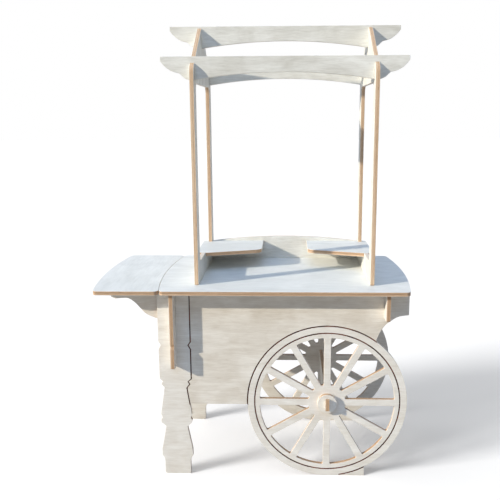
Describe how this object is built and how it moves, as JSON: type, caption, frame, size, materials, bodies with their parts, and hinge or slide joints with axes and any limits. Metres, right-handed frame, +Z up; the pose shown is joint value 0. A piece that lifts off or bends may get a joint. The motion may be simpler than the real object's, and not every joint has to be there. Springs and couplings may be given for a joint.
{
  "type": "candy buffet cart",
  "caption": "Slot-together plywood market cart with spoked wheel sides, turned legs, side shelf, display table, corner shelves and an open gabled canopy.",
  "frame": {"origin": "on the floor, under the middle of the whole cart with its side shelf on", "axes": "+X to the right of somebody who faces the wheel side in the picture, +Y to the back, +Z up"},
  "size_m": [1.3634, 0.7, 1.9483],
  "materials": {
    "whitewashed_ply": "matt whitewashed plywood with bare laminated edges",
    "worktop_ply": "satin whitewashed plywood with bare laminated edges",
    "canopy_ply": "matt whitewashed plywood with bare laminated edges"
  },
  "bodies": {
    "body": {"front_panel": "whitewashed_ply", "rear_panel": "whitewashed_ply", "left_end_panel": "whitewashed_ply", "right_end_panel": "whitewashed_ply", "axle_board": "whitewashed_ply", "table_top": "worktop_ply"},
    "front_hub": {"front_hub_disc": "whitewashed_ply"},
    "rear_hub": {"rear_hub_disc": "whitewashed_ply"},
    "side_shelf": {"side_shelf_top": "worktop_ply", "front_shelf_arm": "whitewashed_ply", "rear_shelf_arm": "whitewashed_ply"},
    "canopy": {"left_canopy_frame": "canopy_ply", "right_canopy_frame": "canopy_ply", "back_board": "canopy_ply"},
    "eaves_front": {"front_beam": "canopy_ply"},
    "ridge": {"ridge_beam": "canopy_ply"},
    "eaves_rear": {"rear_beam": "canopy_ply"},
    "left_shelf": {"left_corner_shelf": "worktop_ply"},
    "right_shelf": {"right_corner_shelf": "worktop_ply"}
  },
  "joints": [
    {"name": "front_hub_pull", "type": "slide", "parent": "body", "child": "front_hub", "axis": [0, -1, 0], "range_m": [0, 0.04]},
    {"name": "rear_hub_pull", "type": "slide", "parent": "body", "child": "rear_hub", "axis": [0, 1, 0], "range_m": [0, 0.04]},
    {"name": "side_shelf_lift", "type": "slide", "parent": "body", "child": "side_shelf", "axis": [0, 0, 1], "range_m": [0, 0.024]},
    {"name": "canopy_lift", "type": "slide", "parent": "body", "child": "canopy", "axis": [0, 0, 1], "range_m": [0, 0.03]},
    {"name": "front_beam_lift", "type": "slide", "parent": "canopy", "child": "eaves_front", "axis": [0, 0, 1], "range_m": [0, 0.05]},
    {"name": "ridge_beam_lift", "type": "slide", "parent": "canopy", "child": "ridge", "axis": [0, 0, 1], "range_m": [0, 0.05]},
    {"name": "rear_beam_lift", "type": "slide", "parent": "canopy", "child": "eaves_rear", "axis": [0, 0, 1], "range_m": [0, 0.05]},
    {"name": "left_corner_shelf_lift", "type": "slide", "parent": "canopy", "child": "left_shelf", "axis": [0, 0, 1], "range_m": [0, 0.03]},
    {"name": "right_corner_shelf_lift", "type": "slide", "parent": "canopy", "child": "right_shelf", "axis": [0, 0, 1], "range_m": [0, 0.03]}
  ]
}
